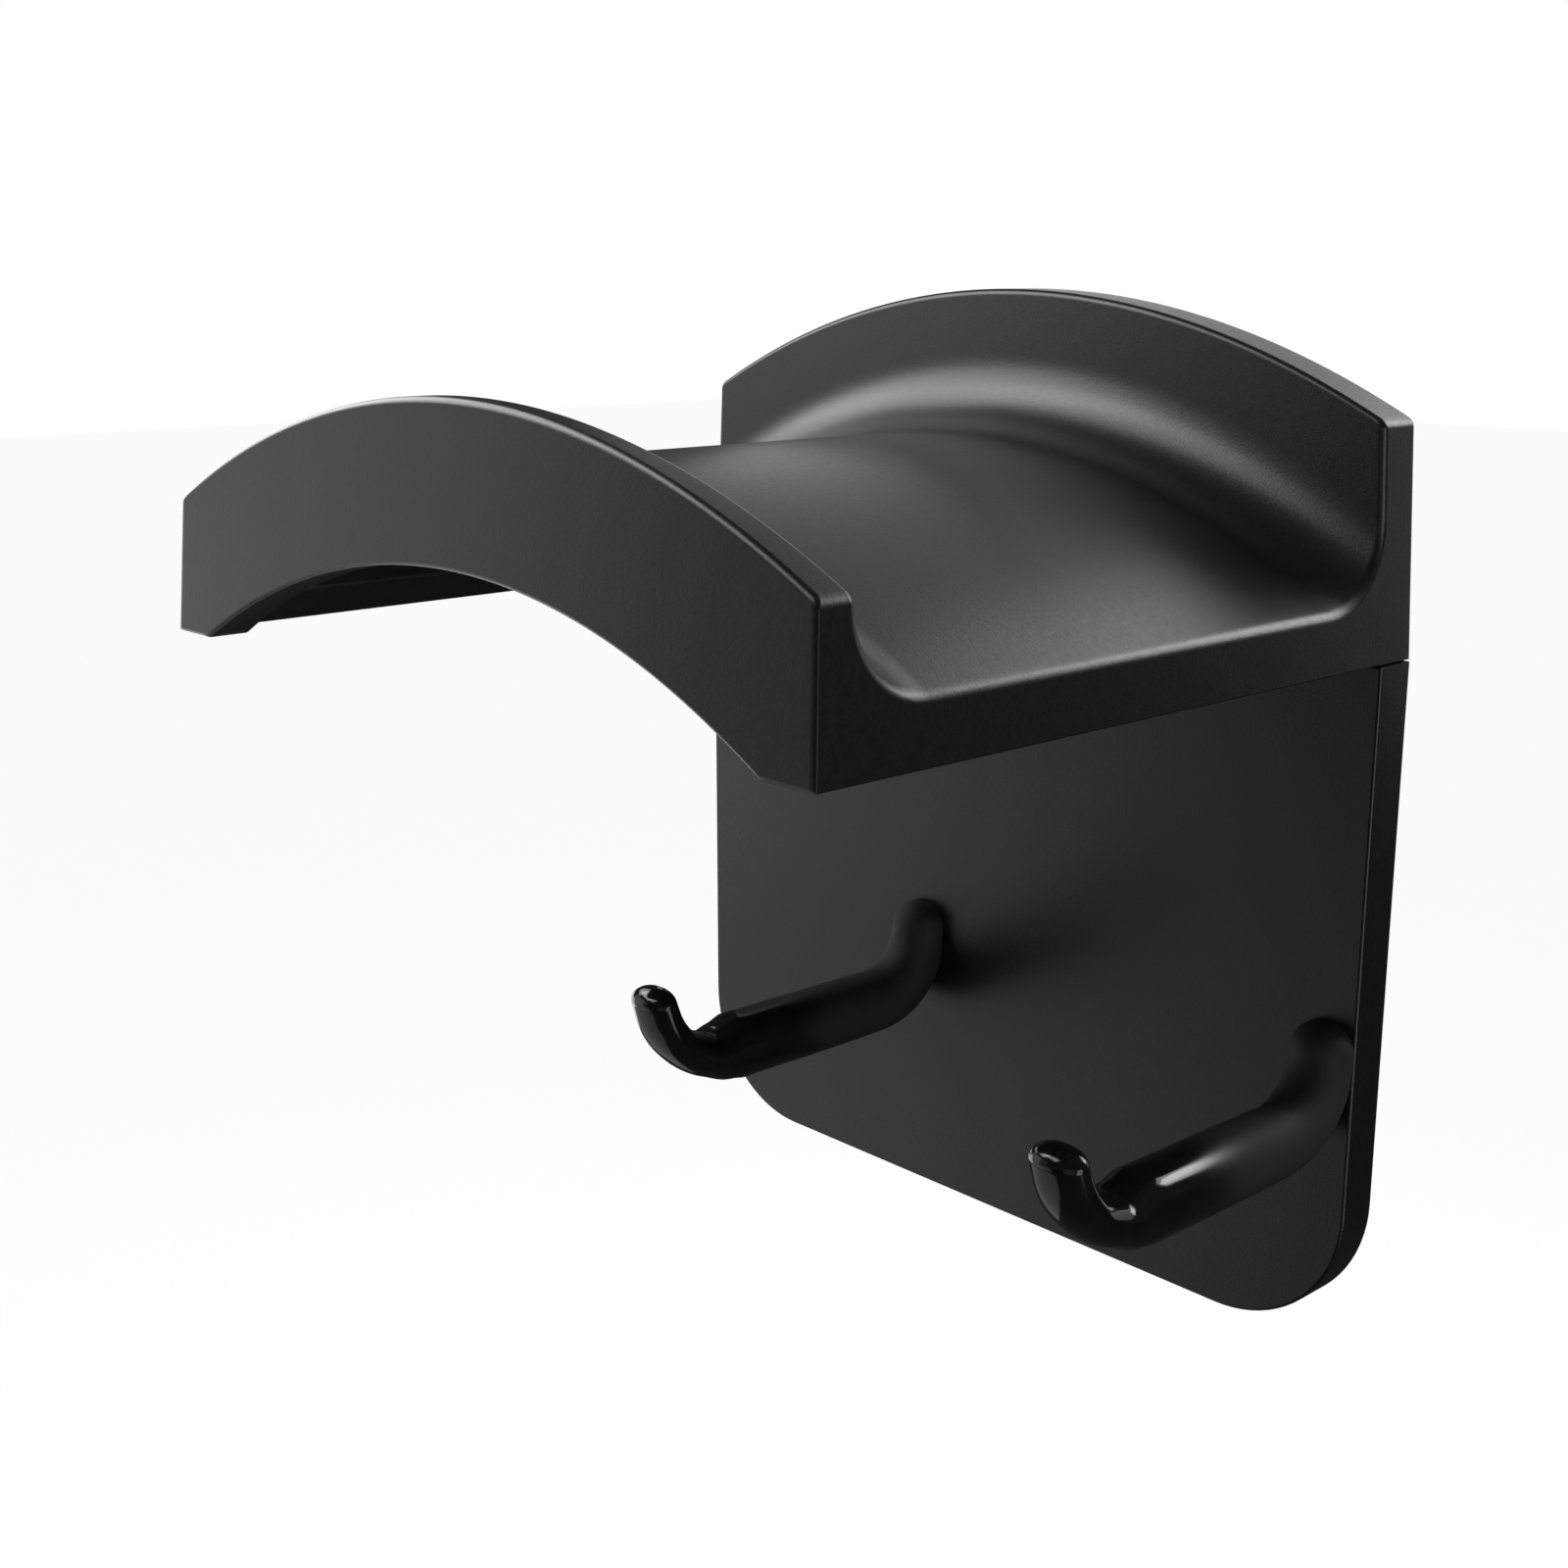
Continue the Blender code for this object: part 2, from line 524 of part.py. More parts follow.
def make_wall_bracket(parts, cutters, material):
    """A plate on the wall with a shelf and an upstanding tongue that the bar drops over."""
    base_front_y = BRACKET_BACK_Y - STEEL
    bracket = add_object("wall_bracket", box_mesh("wall_bracket",
                         (-BRACKET_HALF_WIDTH, base_front_y, -BRACKET_HALF_HEIGHT),
                         (BRACKET_HALF_WIDTH, BRACKET_BACK_Y, BRACKET_HALF_HEIGHT)), parts, material)
    tongue_front_y = BRACKET_TONGUE_BACK_Y - STEEL
    boolean(bracket, "UNION", box_mesh("bracket_shelf",
            (-BRACKET_TONGUE_HALF_WIDTH, tongue_front_y, BRACKET_HALF_HEIGHT - STEEL),
            (BRACKET_TONGUE_HALF_WIDTH, BRACKET_BACK_Y - STEEL / 2, BRACKET_HALF_HEIGHT)), cutters)
    boolean(bracket, "UNION", box_mesh("bracket_tongue",
            (-BRACKET_TONGUE_HALF_WIDTH, tongue_front_y, BRACKET_HALF_HEIGHT - STEEL / 2),
            (BRACKET_TONGUE_HALF_WIDTH, BRACKET_TONGUE_BACK_Y, BRACKET_TONGUE_TOP_Z)), cutters)
    for side in (-1, 1):
        boolean(bracket, "DIFFERENCE", rod_mesh(f"bracket_hole_{side + 1}", BRACKET_HOLE_RADIUS,
                base_front_y - MM, MM, side * BRACKET_HOLE_X, 0), cutters)


def make_adhesive_pad(parts, cutters, material):
    pad = add_object("adhesive_pad", box_mesh("adhesive_pad",
                     (-PAD_HALF_WIDTH, -PAD_THICKNESS, -PAD_HALF_HEIGHT),
                     (PAD_HALF_WIDTH, 0, PAD_HALF_HEIGHT)), parts, material)
    for side in (-1, 1):
        boolean(pad, "DIFFERENCE", rod_mesh(f"pad_hole_{side + 1}", BRACKET_HOLE_RADIUS + MM,
                -OVERCUT, OVERCUT, side * BRACKET_HOLE_X, 0), cutters)


def make_bumpers(parts, material):
    front_y = FLANGE_FRONT_Y + PLATE_WALL + GAP
    length = -front_y
    profile = ((0, length), (BUMPER_RADIUS * 0.8, length), (BUMPER_RADIUS, length * 0.85),
               (BUMPER_RADIUS, 0), (0, 0))
    for name, (x, z) in BUMPER_PLACES.items():
        turned(f"bumper_{name}", profile, parts, material, (x, front_y, z))


def main():
    clear_scene()
    parts = new_collection(OBJECT_NAME)
    cutters = new_collection("cutters")
    moulded = make_material("matte_black_plastic", (0.022, 0.022, 0.023), 0.5)
    glossy = make_material("gloss_black_plastic", (0.008, 0.008, 0.009), 0.12)
    steel = make_material("zinc_plated_steel", (0.62, 0.62, 0.60), 0.34, 1.0)
    foam = make_material("white_foam", (0.78, 0.78, 0.76), 0.9)
    rubber = make_material("black_rubber", (0.03, 0.03, 0.03), 0.8)
    make_saddle(parts, cutters, moulded)
    make_back_plate(parts, cutters, moulded)
    make_hooks(parts, cutters, glossy)
    make_saddle_screws(parts, steel)
    make_hook_fasteners(parts, steel)
    make_hanger_bar(parts, cutters, steel)
    make_wall_bracket(parts, cutters, steel)
    make_adhesive_pad(parts, cutters, foam)
    make_bumpers(parts, rubber)


main()
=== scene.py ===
"""Looks for the wall-mounted hair dryer holder.

Rounded mouldings, gloss hooks, plated steel, foam and rubber.
Lengths are in metres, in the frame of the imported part: X across the wall, -Y into the room, +Z up.
"""

import json
import math

import bmesh
import bpy
from mathutils import Matrix, Vector

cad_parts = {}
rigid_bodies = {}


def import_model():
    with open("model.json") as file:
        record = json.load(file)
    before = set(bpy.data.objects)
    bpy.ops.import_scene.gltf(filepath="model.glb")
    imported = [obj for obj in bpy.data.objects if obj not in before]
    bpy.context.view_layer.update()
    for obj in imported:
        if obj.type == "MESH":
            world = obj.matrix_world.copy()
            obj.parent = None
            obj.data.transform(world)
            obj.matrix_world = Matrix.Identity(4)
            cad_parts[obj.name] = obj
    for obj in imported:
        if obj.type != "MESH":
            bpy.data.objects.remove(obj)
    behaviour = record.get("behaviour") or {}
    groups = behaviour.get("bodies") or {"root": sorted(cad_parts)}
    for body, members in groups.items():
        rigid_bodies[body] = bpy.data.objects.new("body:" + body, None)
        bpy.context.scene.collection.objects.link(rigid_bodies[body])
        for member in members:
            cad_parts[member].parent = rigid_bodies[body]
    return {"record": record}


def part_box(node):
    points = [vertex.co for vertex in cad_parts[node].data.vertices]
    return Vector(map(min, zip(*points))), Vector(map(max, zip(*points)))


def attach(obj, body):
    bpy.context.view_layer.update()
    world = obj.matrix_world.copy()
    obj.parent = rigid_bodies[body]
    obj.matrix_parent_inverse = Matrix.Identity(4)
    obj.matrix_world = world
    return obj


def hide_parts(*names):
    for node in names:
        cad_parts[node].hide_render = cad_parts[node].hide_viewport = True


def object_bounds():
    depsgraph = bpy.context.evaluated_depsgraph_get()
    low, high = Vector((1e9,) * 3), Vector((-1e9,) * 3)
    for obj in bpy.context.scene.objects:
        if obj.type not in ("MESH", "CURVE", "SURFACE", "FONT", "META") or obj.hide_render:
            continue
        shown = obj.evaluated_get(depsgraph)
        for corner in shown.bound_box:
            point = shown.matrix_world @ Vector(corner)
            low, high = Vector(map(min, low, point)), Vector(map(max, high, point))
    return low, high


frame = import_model()
cad_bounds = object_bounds()
slots = {part["node"]: part["material_slot"] for part in frame["record"]["subparts"]}

MM = 0.001

# Saddle
SADDLE_HALF_WIDTH = 60.0 * MM
SIDE_DRAFT = 0.057
LIP_DRAFT = 0.067
LIP_FRONT_Y = -99.7 * MM
LIP_THICKNESS = 4.9 * MM
LIP_ARC = (44.0 * MM, 15.3 * MM)  # height at the ends, rise to the crown
FLOOR_ARC = (33.6 * MM, 17.8 * MM)
FLANGE_ARC = (55.3 * MM, 14.9 * MM)
ARCH_HALF_WIDTH = 52.5 * MM
ARCH_RISE = 14.2 * MM
SADDLE_BOTTOM_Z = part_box("saddle")[0].z
FLANGE_FRONT_Y = -7.3 * MM
FLANGE_BACK_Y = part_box("saddle")[1].y
FLANGE_WALL = 2.4 * MM
SKIN = 2.5 * MM
FRONT_FILLET = 9.5 * MM
REAR_FILLET = 10.2 * MM
LIP_LAND = 0.9 * MM
POCKET_HALF_WIDTH = 55.6 * MM
HOLLOW_HALF_WIDTH = 57.0 * MM
RIM_HALF_WIDTH = 58.8 * MM
RIM_LEDGE_Z = 29.0 * MM
RIB_X = (-36.0 * MM, -13.0 * MM, 13.0 * MM, 36.0 * MM)
RIB = 2.0 * MM
RIB_OVERLAP = 0.6 * MM  # how far ribs and bosses reach into the shell they join
RIB_RISE = 0.05 * MM  # how far the ribs' lower edges stay above the arch
BOSS_RADIUS = 3.5 * MM
BOSS_FRONT_Y = -19.0 * MM
EDGE = 0.85 * MM  # radius of the moulding's outer edges
LIP_SIDE_SHARE = 0.3  # share of that rounding on the lip's upright edges
BOTTOM_SHARE = 0.35  # share of that rounding on the bottom edges
ARCH_EDGE = 0.6 * MM
LEAST_EDGE = 0.02 * MM  # keeps a rounding from shrinking to nothing
INNER_EDGE = 0.4 * MM

# Back plate
PLATE_LOW, PLATE_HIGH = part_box("back_plate")
PLATE_HALF_WIDTH = PLATE_HIGH.x
PLATE_TOP_Z = SADDLE_BOTTOM_Z - 0.03 * MM  # the seam shows as a line, not a gap
PLATE_BACK_Y = FLANGE_BACK_Y - 0.5 * MM
PLATE_CORNER = 19.0 * MM
PLATE_EDGE = 0.4 * MM
PLATE_WALL = 2.2 * MM
PLATE_DRAFT = 0.1 * MM  # how far the hollow's walls lean in toward its floor
TONGUE_HALF_WIDTH = 54.0 * MM
TONGUE_BOTTOM_Z = 22.6 * MM
GAP = 0.3 * MM  # clearance between neighbouring pieces

# Hooks
HOOK_X = {"left": -13.5 * MM, "right": 57.0 * MM}
HOOK_FOOT_Y = FLANGE_FRONT_Y - 0.05 * MM
HOOK_ROOT_Y = -7.8 * MM
HOOK_SHANK_Z = -33.3 * MM
HOOK_ROOT_BEND = 10.4 * MM
HOOK_SHANK_END_Y = -47.6 * MM
HOOK_TIP_BEND = 12.0 * MM
HOOK_TIP_TURN = math.radians(72)
HOOK_TIP_RUN = 2.2 * MM
DOME_SHARE = 0.85  # length of a hook's rounded end as a share of its half thickness
DOME_OPENING = 0.3  # steps left over, so that a rounded end closes in a small flat
HOOK_SECTIONS = (  # share of the path, half width, reach above it, reach below it, squareness
    (0.00, 4.1 * MM, 4.2 * MM, 3.8 * MM, 2.1),
    (0.20, 4.2 * MM, 4.8 * MM, 4.1 * MM, 2.3),
    (0.40, 4.3 * MM, 4.9 * MM, 4.1 * MM, 2.5),
    (0.70, 4.4 * MM, 5.0 * MM, 3.9 * MM, 2.6),
    (0.735, 4.4 * MM, 4.2 * MM, 3.5 * MM, 2.5),
    (0.79, 4.35 * MM, 3.1 * MM, 2.9 * MM, 2.3),
    (0.88, 4.2 * MM, 2.6 * MM, 2.6 * MM, 2.15),
    (1.00, 3.9 * MM, 2.3 * MM, 2.4 * MM, 2.1),
)

# Fasteners and hanging plates
AXIS = 0.02 * MM  # radius of the small cap that closes a turned shape on its axis
SCREWS = {  # shank radius, head height
    "saddle_screw_": (1.4 * MM, 1.4 * MM),
    "hook_screw_": (1.25 * MM, 2.0 * MM),
    "hanger_screw_": (1.0 * MM, 0.9 * MM),
}
HOOK_BORE = 1.55 * MM
SADDLE_SCREW_HOLE = 1.7 * MM
HANGER_SCREW_HOLE = 1.3 * MM
HANGER_BOSS_RADIUS = 4.0 * MM
WASHER_POCKET_RADIUS = 3.3 * MM
WASHER_EDGE = 0.15 * MM
THREAD_PITCH = 0.8 * MM
THREAD_DEPTH = 0.18 * MM
THREADED_SHARE = 0.85  # share of the shank's length that carries thread
RECESS_TOP = (0.56, 0.15)  # half length and half width of the cross recess, in head radii
RECESS_FLOOR = (0.3, 0.11)
RECESS_SHARE = 0.65  # depth of the cross recess as a share of the head's height
ON_WALL = ("wall_bracket", "adhesive_pad")
STEEL = 1.2 * MM
BRACKET_BASE_FRONT_Y = -2.3 * MM
BRACKET_BASE_TOP_Z = 12.7 * MM
BRACKET_TONGUE_HALF_WIDTH = 20.5 * MM
WALL_HOLE_X = 22.0 * MM
WALL_HOLE_RADIUS = 2.3 * MM
COUNTERSINK_RADIUS = 3.9 * MM
BAR_CORNER = 1.6 * MM
BRACKET_CORNER = 2.5 * MM
TONGUE_CORNER = 3.0 * MM
TONGUE_OVERLAP = 4.0 * MM  # how far the tongue's shape reaches down into the base
JOIN_INSET = 0.02 * MM  # keeps the faces of two joined shapes out of one plane
PRESSED_EDGE = 0.15 * MM
OUTER_BEND = 1.4 * MM
INNER_BEND = 0.4 * MM
PAD_CORNER = 2.0 * MM
PAD_EDGE = 0.2 * MM
PAD_HOLE_RADIUS = 3.3 * MM
BUMPER_ROUNDING = 1.1 * MM
BUMPER_FRONT_EDGE = 0.25 * MM
BUMPER_DISH = (0.3 * MM, 0.45 * MM)  # depth of the dish at its side and in its middle

ARC_STEPS = 6

# Camera
LENS = 47.91
SENSOR_WIDTH = 36
CLIP_START = 0.01
CAMERA_PLACE = (0.19354, -0.22713, 0.07273)
CAMERA_TURN = (math.radians(76.15), 0, math.radians(47.275))

# Stage
FLOOR_DROP = 0.35
FLOOR_REACH = 6.0
FLOOR_SEEN = 0.96
WORLD_LIGHT = 0.03
WORLD_SEEN = 1.0
STUDIO_MIDDLE = Vector((0, -0.05, 0.02))
PANEL_DISTANCE = 0.75
PANELS = (  # name, degrees round from +X, degrees up, width, height, watts
    ("front_right", -8, -13, 0.45, 0.65, 1.8),
    ("front_fill", -55, -8, 0.60, 0.50, 0.2),
    ("rim", 64, 27, 0.27, 0.27, 1.4),
    ("right_back", 70, 5, 0.30, 0.40, 0.22),
    ("rim_back", 78, 38, 0.50, 0.25, 1.1),
    ("backdrop", 110, 15, 0.80, 0.35, 0.85),
    ("back_high", 118, 40, 0.40, 0.25, 0.15),
    ("left_back", 178, -16, 0.50, 0.40, 1.3),
    ("front_left", 222, 5, 0.50, 0.30, 0.13),
    ("front_low", 225, -25, 0.60, 0.35, 0.3),
    ("top_front", 230, 50, 0.50, 0.40, 2.2),
)
SADDLE_AIM = Vector((-0.03, -0.02, 0.04))
HOOK_AIM = Vector((0.02, -0.06, -0.03))
NEAR_LIGHTS = (  # name, place, aim, width, height, watts
    ("near_left", Vector((-0.25, -0.19, 0.0)), SADDLE_AIM, 0.20, 0.20, 0.07),
    ("near_back", Vector((-0.22, -0.06, 0.12)), SADDLE_AIM, 0.14, 0.10, 0.10),
    ("near_high", Vector((-0.16, -0.12, 0.17)), SADDLE_AIM, 0.20, 0.15, 0.40),
    ("near_low", Vector((-0.20, -0.145, -0.255)), HOOK_AIM, 0.35, 0.25, 0.1),
)


# Mesh tools

def add_piece(name, bm, node):
    """Makes the piece that stands for a CAD node and rides on that node's body."""
    bmesh.ops.recalc_face_normals(bm, faces=bm.faces)
    mesh = bpy.data.meshes.new(name)
    bm.to_mesh(mesh)
    bm.free()
    mesh.materials.append(materials[slots[node]])
    piece = bpy.data.objects.new(name, mesh)
    bpy.context.scene.collection.objects.link(piece)
    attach(piece, "mount" if node in ON_WALL else "holder")
    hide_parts(node)
    return piece


def finish_shading(piece, degrees=40):
    piece.data.shade_smooth()
    piece.data.set_sharp_from_angle(angle=math.radians(degrees))
    weighted = piece.modifiers.new("weighted_normals", "WEIGHTED_NORMAL")
    weighted.keep_sharp = True


def loft(rings, merge=1e-6):
    """A closed mesh through rings of equally many points; points that coincide are merged."""
    bm = bmesh.new()
    rows = [[bm.verts.new(point) for point in ring] for ring in rings]
    for row, after in zip(rows, rows[1:]):
        for i in range(len(row)):
            j = (i + 1) % len(row)
            bm.faces.new((row[i], row[j], after[j], after[i]))
    bm.faces.new(rows[0])
    bm.faces.new(rows[-1])
    bmesh.ops.remove_doubles(bm, verts=bm.verts, dist=merge)
    bmesh.ops.dissolve_degenerate(bm, edges=bm.edges, dist=merge)
    return bm


def box_bm(low, high):
    bm = bmesh.new()
    bmesh.ops.create_cube(bm, size=1.0)
    middle = (Vector(low) + Vector(high)) / 2
    for vert in bm.verts:
        vert.co = Vector(v * (h - l) for v, h, l in zip(vert.co, high, low)) + middle
    return bm


def rod_bm(radius, front_y, back_y, x, z, steps=32):
    """A cylinder along Y."""
    bm = bmesh.new()
    bmesh.ops.create_cone(bm, cap_ends=True, segments=steps, radius1=radius, radius2=radius,
                          depth=back_y - front_y)
    bmesh.ops.rotate(bm, verts=bm.verts, matrix=Matrix.Rotation(math.pi / 2, 3, "X"))
    bmesh.ops.translate(bm, verts=bm.verts, vec=(x, (front_y + back_y) / 2, z))
    return bm


def turned_bm(profile, place, closed=False, steps=40):
    """A profile of (radius, distance along +Y) turned about an axis through the place."""
    bm = bmesh.new()
    rows = []
    for radius, reach in profile:
        turns = [2 * math.pi * k / steps for k in range(steps)]
        rows.append([bm.verts.new(place + Vector((radius * math.cos(turn), reach,
                                                  radius * math.sin(turn)))) for turn in turns])
    for row, after in list(zip(rows, rows[1:])) + ([(rows[-1], rows[0])] if closed else []):
        for i in range(steps):
            j = (i + 1) % steps
            bm.faces.new((row[i], row[j], after[j], after[i]))
    if not closed:
        bm.faces.new(rows[0])
        bm.faces.new(rows[-1])
    return bm


def combine(piece, operation, tools):
    """Cuts the tools from the piece or joins them to it, and applies the result."""
    helpers = bpy.data.collections.new("tools")
    bpy.context.scene.collection.children.link(helpers)
    for bm in tools:
        bmesh.ops.recalc_face_normals(bm, faces=bm.faces)
        mesh = bpy.data.meshes.new("tool")
        bm.to_mesh(mesh)
        bm.free()
        helpers.objects.link(bpy.data.objects.new("tool", mesh))
    modifier = piece.modifiers.new("combine", "BOOLEAN")
    modifier.operation = operation
    modifier.solver = "EXACT"
    modifier.operand_type = "COLLECTION"
    modifier.collection = helpers
    bpy.context.view_layer.update()
    graph = bpy.context.evaluated_depsgraph_get()
    made = bpy.data.meshes.new_from_object(piece.evaluated_get(graph))
    if not made.polygons:
        raise RuntimeError(f"{operation} left nothing of {piece.name}")
    piece.modifiers.clear()
    old = piece.data
    made.name = old.name
    piece.data = made
    bpy.data.meshes.remove(old)
    for tool in list(helpers.objects):
        mesh = tool.data
        bpy.data.objects.remove(tool, do_unlink=True)
        bpy.data.meshes.remove(mesh)
    bpy.data.collections.remove(helpers)


def rounded(corners):
    """Points round a closed outline of (y, z, reach before, reach after, steps) corners."""
    points = []
    for i, (y, z, before, after, steps) in enumerate(corners):
        place = Vector((y, z))
        back = (Vector(corners[i - 1][:2]) - place)
        ahead = (Vector(corners[(i + 1) % len(corners)][:2]) - place)
        back = back.normalized() if back.length else back
        ahead = ahead.normalized() if ahead.length else ahead
        for step in range(steps + 1):
            turn = math.pi / 2 * step / steps if steps else 0
            reach = back * before * (1 - math.sin(turn)) + ahead * after * (1 - math.cos(turn))
            points.append(place + reach)
    return points


# Saddle

def arc_height(x, end_z, rise, half_width=SADDLE_HALF_WIDTH):
    radius = (half_width ** 2 + rise ** 2) / (2 * rise)
    return end_z + rise - radius + math.sqrt(radius ** 2 - x ** 2)


def lip_front_y(z):
    return LIP_FRONT_Y + LIP_DRAFT * (z - LIP_ARC[0])


def arch_low_z(x):
    if abs(x) >= ARCH_HALF_WIDTH:
        return SADDLE_BOTTOM_Z
    return arc_height(x, SADDLE_BOTTOM_Z, ARCH_RISE, ARCH_HALF_WIDTH)


def saddle_section(x, zone, inset=0.0):
    """The closed YZ outline at x. The zone says which of the hollows it passes through."""
    lip_z = arc_height(x, *LIP_ARC) - inset
    floor_z = arc_height(x, *FLOOR_ARC) - inset
    flange_z = arc_height(x, *FLANGE_ARC) - inset
    bottom = SADDLE_BOTTOM_Z + inset * BOTTOM_SHARE
    low = max(arch_low_z(x), bottom)
    ceiling = {"cavity": floor_z - SKIN, "solid": bottom}.get(zone, RIM_LEDGE_Z)
    hollow_top = flange_z - SKIN if zone in ("cavity", "hollow_ledge") else bottom
    lip_back = LIP_FRONT_Y + LIP_THICKNESS - inset
    front = FLANGE_FRONT_Y + inset
    back = FLANGE_BACK_Y - inset
    wall = FLANGE_FRONT_Y + FLANGE_WALL
    edge = max(EDGE - inset, LEAST_EDGE)
    arch_edge = max(ARCH_EDGE - inset, LEAST_EDGE)
    inner = 0 if zone == "solid" else INNER_EDGE
    front_rise = lip_z - floor_z - LIP_LAND
    return rounded([
        (lip_front_y(low) + inset * LIP_SIDE_SHARE, low, arch_edge, arch_edge, ARC_STEPS),
        (lip_front_y(lip_z) + inset * LIP_SIDE_SHARE, lip_z, edge, edge, ARC_STEPS),
        (lip_back, lip_z, edge, edge, ARC_STEPS),
        (lip_back, floor_z, front_rise, FRONT_FILLET + inset, 14),
        (front, floor_z, REAR_FILLET + inset, REAR_FILLET + inset, 14),
        (front, flange_z, edge, edge, ARC_STEPS),
        (back, flange_z, edge, edge, ARC_STEPS),
        (back, hollow_top, 0, 0, 0),
        (wall, hollow_top, 0, 0, 0),
        (wall, bottom, 0, 0, 0),
        (FLANGE_FRONT_Y, bottom, 0, 0, 0),
        (FLANGE_FRONT_Y, ceiling, inner, inner, 2),
        (LIP_FRONT_Y + LIP_THICKNESS, ceiling, inner, inner, 2),
        (LIP_FRONT_Y + LIP_THICKNESS, low, inner, inner, 2),
    ])


def saddle_stations():
    """(x, zone, inset) from the middle of the saddle out to its rounded side edge."""
    stations = []
    for start, end, steps, zone in (
            (0, ARCH_HALF_WIDTH, 44, "cavity"), (ARCH_HALF_WIDTH, POCKET_HALF_WIDTH, 3, "cavity"),
            (POCKET_HALF_WIDTH, HOLLOW_HALF_WIDTH, 1, "hollow_ledge"),
            (HOLLOW_HALF_WIDTH, RIM_HALF_WIDTH, 2, "ledge"),
            (RIM_HALF_WIDTH, SADDLE_HALF_WIDTH - EDGE, 1, "solid")):
        stations += [(start + (end - start) * i / steps, zone, 0) for i in range(steps + 1)]
    for i in range(1, ARC_STEPS + 1):
        turn = math.pi / 2 * i / ARC_STEPS
        stations.append((SADDLE_HALF_WIDTH - EDGE * (1 - math.sin(turn)), "solid",
                         EDGE * (1 - math.cos(turn))))
    return stations


def make_saddle():
    right = saddle_stations()
    left = [(-x, zone, inset) for x, zone, inset in reversed(right)]
    rings = []
    for x, zone, inset in left + right[1:]:
        share = x / SADDLE_HALF_WIDTH
        rings.append([(share * (SADDLE_HALF_WIDTH - SIDE_DRAFT * (z - LIP_ARC[0])), y, z)
                      for y, z in saddle_section(x, zone, inset)])
    saddle = add_piece("saddle_moulding", loft(rings), "saddle")

    lip_back = LIP_FRONT_Y + LIP_THICKNESS
    joined = []
    for middle in RIB_X:
        rib = []
        for x in (middle - RIB / 2, middle + RIB / 2):
            low = arch_low_z(x) + RIB_RISE
            high = arc_height(x, *FLOOR_ARC) - SKIN + RIB_OVERLAP
            front, back = lip_back - RIB_OVERLAP, FLANGE_FRONT_Y + RIB_OVERLAP
            rib.append([(x, front, low), (x, back, low), (x, back, high), (x, front, high)])
        joined.append(loft(rib))
    holes = []
    for i in range(1, 5):
        low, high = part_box(f"saddle_screw_{i}")
        x, z = (low.x + high.x) / 2, (low.z + high.z) / 2
        joined.append(rod_bm(BOSS_RADIUS, BOSS_FRONT_Y, FLANGE_FRONT_Y + RIB_OVERLAP, x, z))
        holes.append(rod_bm(SADDLE_SCREW_HOLE, low.y - GAP, 0, x, z))
    combine(saddle, "UNION", joined)
    combine(saddle, "DIFFERENCE", holes)
    finish_shading(saddle)


# Back plate

def plate_ring(inset, y, top_inset):
    """The plate's outline, inset on its free sides and by its own amount at the top."""
    half, bottom = PLATE_HALF_WIDTH - inset, PLATE_LOW.z + inset
    radius = PLATE_CORNER - inset
    steps = 20
    points = [(-half, y, PLATE_TOP_Z - top_inset), (half, y, PLATE_TOP_Z - top_inset)]
    for side, first in ((1, 0.0), (-1, -math.pi / 2)):
        for i in range(steps + 1):
            turn = first - math.pi / 2 * i / steps
            points.append((side * (half - radius) + radius * math.cos(turn), y,
                           bottom + radius + radius * math.sin(turn)))
    return points


def make_plate():
    front, back = PLATE_LOW.y, PLATE_BACK_Y
    rings = []
    for i in range(ARC_STEPS + 1):
        turn = math.pi / 2 * i / ARC_STEPS
        inset = PLATE_EDGE * (1 - math.sin(turn))
        rings.append(plate_ring(inset, front + PLATE_EDGE * (1 - math.cos(turn)), inset))
    for i in range(3):
        turn = math.pi / 4 * i
        inset = INNER_EDGE * (1 - math.cos(turn))
        rings.append(plate_ring(inset, back - INNER_EDGE * (1 - math.sin(turn)), inset))
    inner_y = front + PLATE_WALL
    rings.append(plate_ring(PLATE_WALL, back, PLATE_WALL))
    rings.append(plate_ring(PLATE_WALL + PLATE_DRAFT, inner_y, PLATE_WALL + PLATE_DRAFT))
    plate = add_piece("plate_moulding", loft(rings), "back_plate")

    tongue_front = FLANGE_FRONT_Y + FLANGE_WALL + GAP
    tongue_back = tongue_front + PLATE_WALL
    joined = [box_bm((-TONGUE_HALF_WIDTH, inner_y - MM, TONGUE_BOTTOM_Z),
                     (TONGUE_HALF_WIDTH, tongue_back, PLATE_TOP_Z - GAP)),
              box_bm((-TONGUE_HALF_WIDTH, tongue_front, TONGUE_BOTTOM_Z + MM),
                     (TONGUE_HALF_WIDTH, tongue_back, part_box("back_plate")[1].z))]
    holes = []
    bar_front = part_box("hanger_bar")[0].y
    for word in ("left", "right"):
        low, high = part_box(f"hanger_screw_{word}")
        x, z = (low.x + high.x) / 2, (low.z + high.z) / 2
        joined.append(rod_bm(HANGER_BOSS_RADIUS, inner_y - MM, bar_front - GAP, x, z))
        holes.append(rod_bm(HANGER_SCREW_HOLE, low.y - GAP, 0, x, z))
    for i in range(1, 5):
        low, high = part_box(f"saddle_screw_{i}")
        holes.append(rod_bm(SADDLE_SCREW_HOLE, tongue_front - MM, 0, (low.x + high.x) / 2,
                            (low.z + high.z) / 2))
    for word, x in HOOK_X.items():
        low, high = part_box(f"hook_screw_{word}")
        screw_z = (low.z + high.z) / 2
        holes.append(rod_bm(HOOK_BORE, front - MM, 0, x, screw_z))
        if word == "right":  # room for the washer beside the plate's side wall
            holes.append(rod_bm(WASHER_POCKET_RADIUS, inner_y, MM, x, screw_z))
    combine(plate, "UNION", joined)
    combine(plate, "DIFFERENCE", holes)
    finish_shading(plate)


